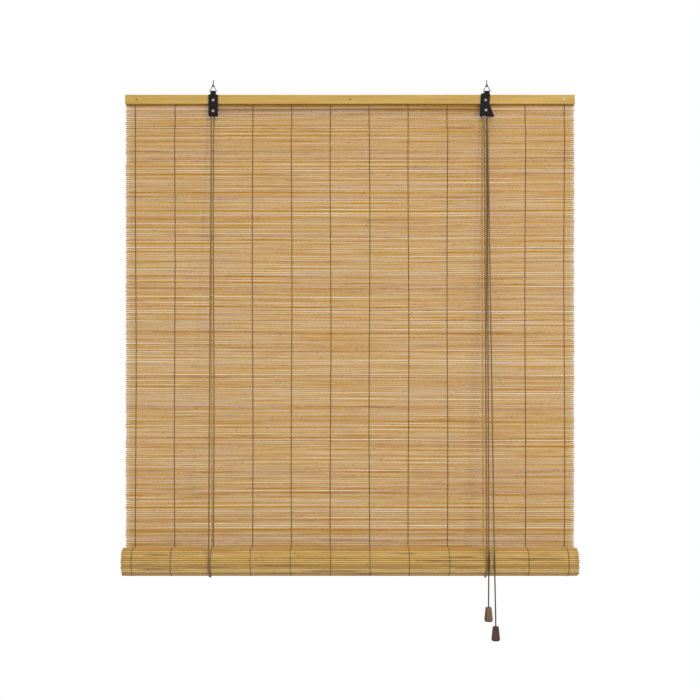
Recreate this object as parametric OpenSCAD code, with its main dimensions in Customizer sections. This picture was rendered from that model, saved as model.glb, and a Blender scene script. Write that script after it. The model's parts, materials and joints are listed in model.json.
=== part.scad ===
// Bamboo roll-up blind: a reed mat hung from a wooden head rail, rolled up towards the
// front from its lower end, carried by two corded leather hangers on screw hooks.
// The origin lies midway between the two screw threads, where they enter the ceiling.
// +Z is up, +X is to the right and the front of the blind faces -Y.

/* [Blind] */
// Width of the head rail and of the mat
blind_w = 1000; // [700:10:1600]
// Height of mat that hangs between the head rail and the middle of the roll
hang_h = 1016; // [500:1:1800]

/* [Head rail] */
// Height of the head rail
rail_h = 21; // [15:0.5:30]
// Thickness of the head rail
rail_t = 8.7; // [6:0.1:14]
// Thickness of the batten behind the mat
batten_t = 5; // [3:0.5:10]
// Rounding of the long edges of both battens
rail_round = 1.5; // [0.5:0.1:2.4]
// Diameter of the heads of the nails in the rail
nail_head_d = 3.4; // [2:0.1:5]
// Diameter of the nails
nail_d = 1.6; // [1:0.1:2]
// Distance from each end of the rail to its outer nail
nail_margin = 25; // [15:1:60]

/* [Mat] */
// Distance from one slat to the next
slat_pitch = 4.56; // [3.5:0.02:7]
// Width of a slat
slat_w = 3.9; // [2.8:0.05:6]
// Thickness of a slat
slat_t = 2.4; // [1.6:0.05:4]
// Thickness of the knotted web between two slats
web_t = 0.9; // [0.5:0.05:1.4]
// Number of warp threads across the mat
warps = 12; // [6:1:18]
// Distance from the mat's side edge to its outer warp thread
warp_margin = 22; // [12:1:60]
// Width of a warp thread
warp_w = 1.4; // [0.8:0.1:2]
// Thickness of a warp thread on the face of the mat
warp_t = 0.5; // [0.3:0.05:0.9]

/* [Roll] */
// Diameter of the roll at its outer turn
roll_d = 64.5; // [58:0.5:90]
// Distance from one turn of the roll to the next
turn_pitch = 5.2; // [4.6:0.1:8]
// Width of the bottom bar in the core of the roll
bar_w = 20; // [14:0.5:24]
// Thickness of the bottom bar
bar_t = 8; // [5:0.5:10]

/* [Hangers] */
// Distance between the two hooks
hook_spacing = 608; // [400:2:1000]
// Diameter of the hook wire
hook_wire = 2.5; // [2:0.1:4]
// Bend radius of the hook at the middle of its wire
hook_bend = 3.6; // [3.5:0.1:6]
// Length of the screw thread
thread_l = 8.5; // [5:0.5:20]
// Depth of the hook below the ceiling, to the middle of its bend
hook_depth = 3.8; // [3.6:0.1:12]
// Diameter of the wire of the triangle rings
ring_wire = 1.9; // [1.6:0.1:2.4]
// Width of a triangle ring
ring_w = 18; // [14:0.5:30]
// Height of a triangle ring
ring_h = 19; // [13:0.5:30]
// Thickness of the leather
leather_t = 1.6; // [1:0.1:2.2]
// Width of a leather strap
strap_w = 20.5; // [17:0.5:30]
// Length of a strap below the top of the rail
strap_h = 49; // [47:0.5:70]
// Width of the strap where it folds over its ring
strap_neck_w = 10.6; // [7:0.1:10.8]
// Width of the strap's neck between its ring and the rail
collar_w = 12; // [11:0.5:16]
// Height of the ring's lower bar above the top of the rail
ring_above_rail = 5.5; // [5:0.5:20]
// Diameter of the rivet heads
rivet_head_d = 6.5; // [5:0.1:8]
// Diameter of the rivets
rivet_d = 2.4; // [1.6:0.1:3]
// Depth of the upper rivets below the top of the rail
upper_rivet_depth = 13; // [6:0.5:15]
// Height of the left pulley's rivet above the end of its strap
left_pulley_set = 11.5; // [7:0.5:12]
// Height of the right pulleys' rivet above the end of their strap
right_pulley_set = 13; // [10:0.5:13.5]
// Distance of the right rivets inward from their hook
right_rivet_set = 2.5; // [0:0.5:4]

/* [Cords] */
// Diameter of the lift cords
cord_d = 3; // [2:0.1:4]
// Radius of the cord's bend over a pulley, at the middle of the cord
cord_bend = 3.75; // [3.5:0.05:6]
// Diameter of a pulley
pulley_d = 10; // [9:0.5:16]
// Width of a pulley
pulley_w = 4.6; // [4.4:0.1:7]
// Height of a wooden tassel
tassel_h = 31; // [20:1:50]
// Diameter of a tassel at its widest
tassel_d = 19; // [14:0.5:30]
// Diameter of a tassel at its top
tassel_top_d = 13.5; // [8:0.5:15]
// Depth of the first tassel's top below the ceiling
first_tassel_depth = 1152; // [1120:1:1400]
// Distance of the first tassel to the left of its hook
first_tassel_set = 2.5; // [0:0.5:2.5]
// Distance of the first pull cord to the left of its hook, in front of the roll
first_pull_set = 2; // [0:0.5:2.5]
// Depth of the second tassel's top below the ceiling
second_tassel_depth = 1194; // [1120:1:1400]
// Distance of the second tassel to the right of its hook
second_tassel_set = 13; // [8:0.5:40]
// Distance of the second pull cord to the right of its hook, in front of the roll
second_pull_set = 10.5; // [6:0.5:30]

/* [Hidden] */
$fn = 48;
// Gap between flat or curved faces that lie against each other loosely
clear = 0.3;
// Radial clearance of a pin in its hole
running = 0.05;
// Overrun of every cut past the face that it cuts
over = 1;

// Heights, counted from the ceiling down
hook_seat_z = -hook_depth - hook_bend;
// The hook's wire sits in the angle under the top of its ring
ring_half_w = ring_w / 2 - ring_wire / 2;
ring_rise = ring_h - ring_wire;
ring_lean = atan2(ring_half_w, ring_rise);
ring_top_z = hook_seat_z + (hook_wire / 2 + ring_wire / 2 + running) / sin(ring_lean);
ring_bar_z = ring_top_z - ring_rise;
rail_top_z = ring_bar_z - ring_above_rail;
rail_bottom_z = rail_top_z - rail_h;
slats_hung = floor(hang_h / slat_pitch);
slats_in_rail = floor(rail_h / slat_pitch);
roll_z = rail_bottom_z - slats_hung * slat_pitch;
upper_rivet_z = rail_top_z - upper_rivet_depth;
strap_end_z = rail_top_z - strap_h;
left_pulley_z = strap_end_z + left_pulley_set;
right_pulley_z = strap_end_z + right_pulley_set;

// Depths, counted from the plane of the screw threads towards the back
ring_y = -hook_bend;
pinch = running;
rail_front_y = ring_y + pinch + leather_t;
mat_front_y = rail_front_y + rail_t;
mat_y = mat_front_y + slat_t / 2;
batten_y = mat_y + slat_t / 2;
batten_back_y = batten_y + batten_t;
roll_bend = roll_d / 2 - slat_t / 2;
roll_y = mat_y - roll_bend;
sling_bend = roll_d / 2 + warp_t + clear + cord_d / 2;
cord_front_y = roll_y - sling_bend;
cord_back_y = roll_y + sling_bend;
anchor_y = batten_back_y + clear + cord_d / 2;
anchor_z = rail_bottom_z + rail_h / 2;
cord_foot_z = roll_z + clear;

// Places across the blind
left_x = -hook_spacing / 2;
right_x = hook_spacing / 2;
right_rivet_x = right_x - right_rivet_set;
left_cord_x = left_x - cord_bend;
right_cord_x = right_rivet_x - cord_bend;
pull_top_x = right_rivet_x + cord_bend;
// The cords' staples stand clear of the rivets' rear heads
left_anchor_x = left_cord_x - rivet_head_d / 2;
right_anchor_x = right_cord_x - rivet_head_d / 2;
warp_span = blind_w - 2 * warp_margin;
warp_xs = [for (i = [0:warps - 1]) -warp_span / 2 + i * warp_span / (warps - 1)];
nail_xs = [-blind_w / 2 + nail_margin, 0, blind_w / 2 - nail_margin];

// The two right pulleys stand side by side on one rivet
pulley_step = pulley_w + clear;
rear_pulley_y = ring_y + pulley_step / 2;
front_pulley_y = ring_y - pulley_step / 2;
left_spread = pulley_w / 2 + clear;
right_spread = pulley_step / 2 + pulley_w / 2 + clear;

// Routes of the two pull cords, first over the roll and then down to their tassels.
first_pull_x = right_x - first_pull_set;
second_pull_x = right_x + second_pull_set;
first_tassel_x = right_x - first_tassel_set;
second_tassel_x = right_x + second_tassel_set;

// Helpers

// Extrudes a section drawn as [depth, height] across the blind, centred on it
module across(width) {
    translate([-width / 2, 0, 0]) rotate([90, 0, 90]) linear_extrude(width) children();
}

// Extrudes an outline drawn as [across, height] from one depth to another
module through(from_y, to_y) {
    translate([0, to_y, 0]) rotate([90, 0, 0]) linear_extrude(to_y - from_y) children();
}

// A straight round bar between two points
module rod(a, b, d) {
    v = b - a;
    turn = atan2(v[1], v[0]);
    lean = acos(v[2] / norm(v));
    translate(a) rotate([0, lean, turn]) cylinder(h = norm(v), d = d);
}

// A rectangle with round corners, standing on the origin's depth
function round_rect(w, h, r, steps = 4) = [
    for (corner = [[w - r, h - r, 0], [r, h - r, 90], [r, r, 180], [w - r, r, 270]])
    for (k = [0:steps])
    let (angle = corner[2] + 90 * k / steps)
    [corner[0] + r * cos(angle), corner[1] + r * sin(angle)]
];

// One slat's section on one face: places along the pitch and how far the face stands out
slat_bevel_share = 0.18;
function slat_face(at) = [
    [at, web_t / 2],
    [at + slat_w * slat_bevel_share, slat_t / 2],
    [at + slat_w * (1 - slat_bevel_share), slat_t / 2],
    [at + slat_w, web_t / 2]
];
function slat_row(count) = [for (i = [0:count - 1]) each slat_face(i * slat_pitch)];
function turned(list) = [for (i = [len(list) - 1:-1:0]) list[i]];

// The roll is a spiral that keeps its radius for the first half of each turn, where it lies
// in its cords, and steps in by one turn pitch over the second half. Each slat turns it on
// by its pitch over the radius reached.
core_bend = norm([bar_w, bar_t]) / 2 + slat_t / 2 + clear;
whole_turns = floor((roll_bend - core_bend) / turn_pitch);
last_turn_share = 0.6;
roll_turns = whole_turns + last_turn_share;
level_share = 0.5;
function step_in(f) = f < level_share ? 0 : (1 - cos(180 * (f - level_share) / (1 - level_share))) / 2;
function roll_radius(turns) = roll_bend - turn_pitch * (floor(turns) + step_in(turns - floor(turns)));
function slat_turns(turns) = slat_pitch / (2 * PI * roll_radius(turns));
roll_marks = [for (t = 0; t < roll_turns; t = t + slat_turns(t)) t];
slats_rolled = len(roll_marks) - 1;
function spiral_at(along, out) =
    let (i = min(floor(along / slat_pitch), slats_rolled - 1), f = along / slat_pitch - i)
    let (turns = roll_marks[i] + f * (roll_marks[i + 1] - roll_marks[i]))
    (roll_radius(turns) + out) * [cos(360 * turns), -sin(360 * turns)];

// A tube swept along a route: a ring of sides round each point, facing the mean direction
// of the stretches that meet there
cord_sides = 8;
function unit(v) = v / norm(v);
function heading(route, i) = unit(
    (i == 0 ? [0, 0, 0] : unit(route[i] - route[i - 1]))
    + (i == len(route) - 1 ? [0, 0, 0] : unit(route[i + 1] - route[i])));
function ring_points(route, i, d) =
    let (t = heading(route, i), u = unit(cross(t, [0, 1, 0])), v = cross(t, u))
    [for (k = [0:cord_sides - 1])
        let (angle = 360 * k / cord_sides)
        route[i] + (u * cos(angle) + v * sin(angle)) * d / 2];
module cord_tube(route, d) {
    n = cord_sides;
    last = len(route) - 1;
    points = [for (i = [0:last]) each ring_points(route, i, d)];
    sides = [for (i = [0:last - 1]) for (k = [0:n - 1])
        [i * n + k, (i + 1) * n + k, (i + 1) * n + (k + 1) % n, i * n + (k + 1) % n]];
    caps = [[for (k = [0:n - 1]) k], [for (k = [n - 1:-1:0]) last * n + k]];
    polyhedron(points, concat(sides, caps));
}
// Points along a line, ends included
function line_points(a, b, steps) = [for (i = [0:steps]) a + (b - a) * i / steps];

// Screw hooks

hook_point_share = 0.12;
hook_tip_share = 0.34;
module screw_hook(x) {
    point_l = hook_wire;
    point_d = hook_wire * hook_point_share;
    tip_l = hook_wire * hook_tip_share;
    tip_d = hook_wire * (1 - hook_tip_share);
    color("slategray") translate([x, 0, 0]) {
        translate([0, 0, thread_l - point_l]) cylinder(h = point_l, d1 = hook_wire, d2 = point_d);
        translate([0, 0, -hook_depth]) cylinder(h = hook_depth + thread_l - point_l, d = hook_wire);
        translate([0, ring_y, -hook_depth]) rotate([0, 90, 0]) rotate([0, 0, -90])
            rotate_extrude(angle = 180) translate([hook_bend, 0]) circle(d = hook_wire);
        translate([0, 2 * ring_y, -hook_depth]) cylinder(h = tip_l, d1 = hook_wire, d2 = tip_d);
        translate([0, 2 * ring_y, -hook_depth + tip_l]) sphere(d = tip_d);
    }
}
module left_hook() { screw_hook(left_x); }
module right_hook() { screw_hook(right_x); }

// Triangle rings: three straight lengths of wire with round corners

module triangle_ring(x) {
    arm_l = norm([ring_half_w, ring_rise]);
    color("silver") translate([x, ring_y, ring_bar_z]) {
        rotate([0, 90, 0]) cylinder(h = 2 * ring_half_w, d = ring_wire, center = true);
        translate([0, 0, ring_rise]) sphere(d = ring_wire);
        for (side = [-1, 1]) translate([side * ring_half_w, 0, 0]) {
            sphere(d = ring_wire);
            rotate([0, -side * ring_lean, 0]) cylinder(h = arm_l, d = ring_wire);
        }
    }
}
module left_ring() { triangle_ring(left_x); }
module right_ring() { triangle_ring(right_x); }

// Leather straps: a strip folded over its ring, pinched on the rail and spread by its pulleys

fold_in = ring_wire / 2 + running;
fold_steps = 24;
pinch_from_z = rail_top_z + leather_t;
pinch_to_z = rail_bottom_z - running;
function fold_arc(r) = [for (k = [0:fold_steps]) let (angle = 180 * k / fold_steps)
    [r * cos(angle), ring_bar_z + r * sin(angle)]];
function mirrored(list) = [for (p = turned(list)) [-p[0], p[1]]];
module strap_side(spread, pulley_z) {
    spread_z = pulley_z + pulley_d / 2 + clear;
    inner = [
        [spread, strap_end_z],
        [spread, spread_z],
        [pinch / 2, pinch_to_z],
        [pinch / 2, pinch_from_z]
    ];
    outer = [for (p = inner) [p[0] + leather_t, p[1]]];
    translate([ring_y, 0]) polygon(concat(
        outer, fold_arc(fold_in + leather_t), mirrored(outer),
        turned(mirrored(inner)), turned(fold_arc(fold_in)), turned(inner)));
}
strap_corner_share = 0.1;
shoulder_z = rail_top_z + leather_t;
neck_z = ring_bar_z - fold_in - leather_t;
// Half of the left strap's outline, from its fold down to its rounded corner
module left_outline() {
    corner = strap_w * strap_corner_share;
    half = [
        [strap_neck_w / 2, ring_bar_z + fold_in + leather_t + over],
        [strap_neck_w / 2, ring_bar_z],
        [collar_w / 2, neck_z],
        [collar_w / 2, rail_top_z],
        [strap_w / 2 - corner / 2, rail_top_z],
        [strap_w / 2, rail_top_z - corner / 2],
        [strap_w / 2, strap_end_z + corner],
        [strap_w / 2 - corner, strap_end_z]
    ];
    polygon(concat(half, mirrored(half)));
}
// The right strap flares at its foot. Shares of its width to each side of the hook, and of
// its length below the rail, going down its right edge and back up its left edge.
right_foot_shares = [
    [0.36, 0.02], [0.28, 0.42], [0.40, 0.62], [0.66, 0.93], [0.78, 0.97], [0.76, 1.0],
    [-0.02, 1.0], [-0.08, 0.93], [-0.32, 0.93], [-0.36, 0.98], [-0.70, 0.97], [-0.76, 0.92]
];
right_shoulder_share = 0.62;
module right_outline() {
    neck = [strap_neck_w / 2, collar_w / 2];
    top_z = ring_bar_z + fold_in + leather_t + over;
    foot = [for (s = right_foot_shares) [s[0] * strap_w, rail_top_z - s[1] * strap_h]];
    polygon(concat(
        [[neck[0], top_z], [neck[0], ring_bar_z], [neck[1], neck_z]],
        foot,
        [[-right_shoulder_share * strap_w, shoulder_z]],
        [[-neck[1], neck_z], [-neck[0], ring_bar_z], [-neck[0], top_z]]));
}
module rivet_hole(x, z) {
    translate([x, 0, z]) rotate([90, 0, 0])
        cylinder(h = 2 * strap_w, d = rivet_d + 2 * running, center = true);
}
module left_strap() {
    color([0.1, 0.09, 0.09]) difference() {
        intersection() {
            translate([left_x, 0, 0]) across(2 * strap_w) strap_side(left_spread, left_pulley_z);
            translate([left_x, 0, 0]) through(-strap_w, strap_w) left_outline();
        }
        rivet_hole(left_x, upper_rivet_z);
        rivet_hole(left_x, left_pulley_z);
    }
}
module right_strap() {
    color([0.1, 0.09, 0.09]) difference() {
        intersection() {
            translate([right_x, 0, 0]) across(2 * strap_w) strap_side(right_spread, right_pulley_z);
            translate([right_x, 0, 0]) through(-strap_w, strap_w) right_outline();
        }
        rivet_hole(right_rivet_x, upper_rivet_z);
        rivet_hole(right_rivet_x, right_pulley_z);
    }
}

// Rivets: a domed head in front and a flat one behind

rivet_dome_share = 0.22;
module rivet(x, z, front_y, back_y) {
    dome = rivet_head_d * rivet_dome_share;
    ball_r = (pow(rivet_head_d / 2, 2) + pow(dome, 2)) / (2 * dome);
    translate([x, front_y, z]) rotate([90, 0, 0]) {
        rotate_extrude() intersection() {
            translate([0, dome - ball_r]) circle(r = ball_r);
            square([rivet_head_d, rivet_head_d]);
        }
        translate([0, 0, front_y - back_y]) cylinder(h = back_y - front_y, d = rivet_d);
        translate([0, 0, front_y - back_y - dome / 2]) cylinder(h = dome / 2, d = rivet_head_d);
    }
}
pinch_front_y = ring_y - pinch / 2 - leather_t;
module upper_rivets() {
    color("silver") for (x = [left_x, right_rivet_x])
        rivet(x, upper_rivet_z, pinch_front_y, batten_back_y);
}
module left_pulley_rivet() {
    reach = left_spread + leather_t;
    color("silver") rivet(left_x, left_pulley_z, ring_y - reach, ring_y + reach);
}
module right_pulley_rivet() {
    reach = right_spread + leather_t;
    color("silver") rivet(right_rivet_x, right_pulley_z, ring_y - reach, ring_y + reach);
}

// Pulleys

groove_w = cord_d + 2 * running + clear;
groove_r = cord_bend - cord_d / 2 - running;
module pulley(x, y, z) {
    bore_r = rivet_d / 2 + running;
    half = [
        [bore_r, pulley_w / 2], [pulley_d / 2, pulley_w / 2],
        [pulley_d / 2, groove_w / 2], [groove_r, groove_w / 2]
    ];
    color("ivory") translate([x, y, z]) rotate([90, 0, 0])
        rotate_extrude() polygon(concat(half, [for (p = turned(half)) [p[0], -p[1]]]));
}
module left_pulley() { pulley(left_x, ring_y, left_pulley_z); }
module right_rear_pulley() { pulley(right_rivet_x, rear_pulley_y, right_pulley_z); }
module right_front_pulley() { pulley(right_rivet_x, front_pulley_y, right_pulley_z); }

// Head rail, batten and nails

module rivet_bores(from_y, to_y) {
    for (x = [left_x, right_rivet_x]) translate([x, to_y + over, upper_rivet_z])
        rotate([90, 0, 0]) cylinder(h = to_y - from_y + 2 * over, d = rivet_d + 2 * running);
}
module head_rail() {
    color([0.78, 0.64, 0.36]) difference() {
        translate([0, rail_front_y, rail_bottom_z])
            across(blind_w) polygon(round_rect(rail_t, rail_h, rail_round));
        rivet_bores(rail_front_y, mat_front_y);
    }
}
module back_batten() {
    color([0.76, 0.62, 0.38]) difference() {
        translate([0, batten_y, rail_bottom_z])
            across(blind_w) polygon(round_rect(batten_t, rail_h, rail_round));
        rivet_bores(batten_y, batten_back_y);
    }
}
nail_head_share = 0.2;
nail_bite_share = 0.7;
nail_l = rail_t + slat_t + batten_t * nail_bite_share;
module rail_nails() {
    color("dimgray") for (x = nail_xs)
        translate([x, rail_front_y, rail_bottom_z + rail_h / 2]) rotate([90, 0, 0]) {
            cylinder(h = nail_head_d * nail_head_share, d = nail_head_d);
            translate([0, 0, -nail_l]) cylinder(h = nail_l, d = nail_d);
        }
}

// The hanging part of the mat, with a gap through every second web between its slats

gap_step = 2;
gap_share = 0.8;
gap_h = (slat_pitch - slat_w) * gap_share;
gap_w = warp_span - 2 * warp_w;
module mat_section(count) {
    row = slat_row(count);
    polygon(concat([for (p = row) [-p[1], p[0]]], [for (p = turned(row)) [p[1], p[0]]]));
}
module hanging_mat() {
    web_mid = slat_w + (slat_pitch - slat_w) / 2;
    color([0.77, 0.63, 0.45]) difference() {
        translate([0, mat_y, roll_z + slat_pitch - slat_w])
            across(blind_w) mat_section(slats_hung + slats_in_rail - 1);
        for (i = [0:gap_step:slats_hung - 2])
            translate([-gap_w / 2, mat_y - slat_t, roll_z + slat_pitch - slat_w
                    + i * slat_pitch + web_mid - gap_h / 2])
                cube([gap_w, 2 * slat_t, gap_h]);
        rivet_bores(mat_front_y, batten_y);
    }
}
module warp_threads() {
    face_y = slat_t / 2;
    color([0.45, 0.33, 0.2]) for (x = warp_xs) for (y = [mat_y - face_y - warp_t, mat_y + face_y])
        translate([x - warp_w / 2, y, roll_z + slat_pitch])
            cube([warp_w, warp_t, rail_bottom_z - roll_z - slat_pitch]);
}

// The roll: one spiral of slats round the bottom bar, with its threads round the outer turn

module mat_roll() {
    row = slat_row(slats_rolled);
    color([0.74, 0.58, 0.35]) translate([0, roll_y, roll_z]) across(blind_w) polygon(concat(
        [for (p = row) spiral_at(p[0], p[1])],
        [for (p = turned(row)) spiral_at(p[0], -p[1])]));
}
module roll_threads() {
    outer_slats = len([for (t = roll_marks) if (t < 1) t]) - 1;
    mids = [for (i = [0:outer_slats - 1]) i * slat_pitch + slat_w / 2];
    lift = slat_t / 2 + clear / 2;
    color([0.45, 0.33, 0.2]) for (x = warp_xs) translate([x, roll_y, roll_z])
        across(warp_w) polygon(concat(
            [for (l = mids) spiral_at(l, lift + warp_t)],
            [for (l = turned(mids)) spiral_at(l, lift)]));
}
// The bar lies in the trough of the innermost turn, on its two lower edges
trough_r = roll_bend - whole_turns * turn_pitch - slat_t / 2 - 2 * running;
bar_drop = rail_round + sqrt(pow(trough_r - rail_round, 2) - pow(bar_w / 2 - rail_round, 2));
module bottom_bar() {
    color([0.7, 0.55, 0.33]) translate([0, roll_y - bar_w / 2, roll_z - bar_drop])
        across(blind_w) polygon(round_rect(bar_w, bar_t, rail_round));
}

// Staples that hold the lift cords behind the rail, and the cords' stopper knots

staple_wire = 1.2;
staple_bend = cord_d / 2 + running + staple_wire / 2;
staple_bite_share = 0.6;
staple_reach = batten_t * staple_bite_share;
knot_share = 2.2;
knot_d = cord_d * knot_share;
knot_sink_share = 0.33;
module cord_staples() {
    color("silver") for (x = [left_anchor_x, right_anchor_x]) translate([x, anchor_y, anchor_z]) {
        rotate_extrude(angle = 180) translate([staple_bend, 0]) circle(d = staple_wire);
        for (side = [-staple_bend, staple_bend]) translate([side, 0, 0]) rotate([90, 0, 0])
            cylinder(h = anchor_y - batten_back_y + staple_reach, d = staple_wire);
    }
}
knot_z = anchor_z + staple_wire / 2 + knot_d / 2;
module anchor_knots() {
    color([0.42, 0.28, 0.16]) for (x = [left_anchor_x, right_anchor_x])
        translate([x, anchor_y + knot_d / 2 - cord_d / 2, knot_z]) sphere(d = knot_d);
}

// Lift cords: up the back of the mat, under the roll, up its front and over the pulleys

module back_cord(x, anchor_x) {
    color([0.42, 0.28, 0.16])
        rod([x, cord_back_y, cord_foot_z], [anchor_x, anchor_y, knot_z - knot_d * knot_sink_share], cord_d);
}
module left_back_cord() { back_cord(left_cord_x, left_anchor_x); }
module right_back_cord() { back_cord(right_cord_x, right_anchor_x); }
module sling(x) {
    color([0.42, 0.28, 0.16]) translate([x, roll_y, roll_z]) rotate([0, 90, 0]) rotate([0, 0, -90])
        rotate_extrude(angle = 180) translate([sling_bend, 0]) circle(d = cord_d);
}
module left_sling() { sling(left_cord_x); }
module right_sling() { sling(right_cord_x); }
module left_front_cord() {
    color([0.42, 0.28, 0.16])
        rod([left_cord_x, cord_front_y, cord_foot_z], [left_cord_x, ring_y, left_pulley_z], cord_d);
}
module right_front_cord() {
    color([0.42, 0.28, 0.16]) rod(
        [right_cord_x, cord_front_y, cord_foot_z],
        [right_cord_x, front_pulley_y, right_pulley_z], cord_d);
}
module pulley_bend(x, y, z, from, to) {
    translate([x, y, z]) rotate([90, 0, 0]) rotate([0, 0, from])
        rotate_extrude(angle = to - from) translate([cord_bend, 0]) circle(d = cord_d);
}
bend_steps = 5;
function bend_points(x, y, z, from, to) = [for (k = [0:bend_steps])
    let (angle = from + (to - from) * k / bend_steps)
    [x + cord_bend * cos(angle), y, z + cord_bend * sin(angle)]];
module cross_cord() {
    color([0.42, 0.28, 0.16]) cord_tube(concat(
        bend_points(left_x, ring_y, left_pulley_z, 180, 90),
        bend_points(right_rivet_x, rear_pulley_y, right_pulley_z, 90, 0)), cord_d);
}
module right_cord_bend() {
    color([0.42, 0.28, 0.16])
        pulley_bend(right_rivet_x, front_pulley_y, right_pulley_z, 0, 180);
}

// Pull cords: from the pulleys over the front of the roll, then down to their tassels

pull_rings = 20;
tail_rings = 14;
tassel_bore_d = cord_d + 2 * clear;
knot_set_share = 0.28;
module first_pull_cord() {
    color([0.42, 0.28, 0.16]) cord_tube(line_points(
        [pull_top_x, rear_pulley_y, right_pulley_z],
        [first_pull_x, cord_front_y, cord_foot_z], pull_rings), cord_d);
}
module second_pull_cord() {
    color([0.42, 0.28, 0.16]) cord_tube(line_points(
        [pull_top_x, front_pulley_y, right_pulley_z],
        [second_pull_x, cord_front_y, cord_foot_z], pull_rings), cord_d);
}
function tassel_knot_z(depth) = -depth - tassel_h * (1 - knot_set_share);
// The tail leans from the roll to its tassel's top and runs straight down through it
module tail_cord(from_x, to_x, depth) {
    color([0.42, 0.28, 0.16]) cord_tube(concat(
        line_points([from_x, cord_front_y, roll_z],
            [to_x, cord_front_y, tassel_h / 2 - depth], tail_rings),
        [[to_x, cord_front_y, -depth], [to_x, cord_front_y, tassel_knot_z(depth)]]), cord_d);
}
module first_tail_cord() { tail_cord(first_pull_x, first_tassel_x, first_tassel_depth); }
module second_tail_cord() { tail_cord(second_pull_x, second_tassel_x, second_tassel_depth); }

// Tassels: turned wooden drops, hollow at the foot for the cord's knot

tassel_wide_share = 0.86;
tassel_foot_share = 0.74;
tassel_round = 1.5;
module tassel(x, depth) {
    hollow_r = knot_d / 2 + clear;
    hollow_h = tassel_h * knot_set_share + knot_d / 2 + clear;
    wide_z = tassel_h * (1 - tassel_wide_share);
    color([0.45, 0.28, 0.14]) translate([x, cord_front_y, -depth - tassel_h]) rotate_extrude()
        polygon(concat(
            [[hollow_r, 0], [tassel_d * tassel_foot_share / 2, 0]],
            [for (k = [1:5]) let (angle = 90 * k / 5, foot = tassel_d * tassel_foot_share / 2)
                [foot + (tassel_d / 2 - foot) * sin(angle), wide_z * (1 - cos(angle))]],
            [for (k = [0:3]) let (angle = 90 * k / 3)
                [tassel_top_d / 2 - tassel_round * (1 - cos(angle)),
                    tassel_h - tassel_round * (1 - sin(angle))]],
            [[tassel_bore_d / 2, tassel_h], [tassel_bore_d / 2, hollow_h], [hollow_r, hollow_h]]));
}
module first_tassel() { tassel(first_tassel_x, first_tassel_depth); }
module second_tassel() { tassel(second_tassel_x, second_tassel_depth); }
module cord_knot(x, depth) {
    color([0.42, 0.28, 0.16]) translate([x, cord_front_y, tassel_knot_z(depth)]) sphere(d = knot_d);
}
module first_knot() { cord_knot(first_tassel_x, first_tassel_depth); }
module second_knot() { cord_knot(second_tassel_x, second_tassel_depth); }

left_hook();
right_hook();
left_ring();
right_ring();
left_strap();
right_strap();
upper_rivets();
left_pulley_rivet();
right_pulley_rivet();
left_pulley();
right_rear_pulley();
right_front_pulley();
head_rail();
back_batten();
rail_nails();
hanging_mat();
warp_threads();
mat_roll();
roll_threads();
bottom_bar();
cord_staples();
anchor_knots();
left_back_cord();
right_back_cord();
left_sling();
right_sling();
left_front_cord();
right_front_cord();
cross_cord();
right_cord_bend();
first_pull_cord();
second_pull_cord();
first_tail_cord();
second_tail_cord();
first_tassel();
second_tassel();
first_knot();
second_knot();
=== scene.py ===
# %% [markdown]
# # A bamboo roll-up blind
# The blind is a mat of split bamboo, woven with thread and nailed between two battens. Two looped
# cords roll it up from below. The solids of the part come in as a fixed frame, and this script
# gives them their looks: slats that differ from each other, twined threads, braided cords and
# worn leather. Every length here is in metres.

# %% Load the frame
import json
import math

import bmesh
import bpy
import numpy as np
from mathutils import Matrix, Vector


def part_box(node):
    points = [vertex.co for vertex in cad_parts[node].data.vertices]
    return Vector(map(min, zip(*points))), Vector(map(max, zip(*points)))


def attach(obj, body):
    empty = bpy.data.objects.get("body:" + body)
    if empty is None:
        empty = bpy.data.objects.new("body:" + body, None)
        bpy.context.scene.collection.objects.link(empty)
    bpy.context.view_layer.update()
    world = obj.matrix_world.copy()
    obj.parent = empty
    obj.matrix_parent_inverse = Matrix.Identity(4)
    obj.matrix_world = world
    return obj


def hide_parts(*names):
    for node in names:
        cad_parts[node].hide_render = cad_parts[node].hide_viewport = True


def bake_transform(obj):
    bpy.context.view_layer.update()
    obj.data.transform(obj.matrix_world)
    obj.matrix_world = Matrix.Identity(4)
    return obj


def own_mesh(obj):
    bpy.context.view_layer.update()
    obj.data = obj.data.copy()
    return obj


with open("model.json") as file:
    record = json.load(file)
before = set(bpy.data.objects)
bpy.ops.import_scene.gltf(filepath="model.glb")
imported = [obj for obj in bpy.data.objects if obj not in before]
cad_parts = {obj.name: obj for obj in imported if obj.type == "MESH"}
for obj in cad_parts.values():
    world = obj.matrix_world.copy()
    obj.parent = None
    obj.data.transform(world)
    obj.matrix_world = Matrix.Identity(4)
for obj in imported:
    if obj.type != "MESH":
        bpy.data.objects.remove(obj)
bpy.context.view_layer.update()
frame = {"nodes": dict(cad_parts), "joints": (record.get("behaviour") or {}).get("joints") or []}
rng = np.random.default_rng(11)

# %% [markdown]
# ## Camera
# A product photograph of a blind is taken square on, from a few metres away, so that its edges
# stay parallel. The camera stands 2.6 metres in front of the middle of the picture, level, with
# the lens that shows 1.56 metres at the mat.

# %% Camera
camera = bpy.data.objects.new("camera", bpy.data.cameras.new("camera"))
bpy.context.collection.objects.link(camera)
camera.data.sensor_width = 36
camera.data.lens = 60.1
camera.location = (0, -2.6, -0.5926)
camera.rotation_euler = (math.radians(90), 0, 0)
bpy.context.scene.camera = camera
print("camera", tuple(camera.location), "lens", camera.data.lens)

# %% [markdown]
# ## From arrays to meshes
# A piece is a grid of points: rings of points that follow each other along a path. Neighbouring
# rings are joined by four-sided faces, and each end is closed by a row of such faces across its
# ring. Many bars at once, such as all slats, are one array with one more axis, so no loop
# runs over the points.

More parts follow.
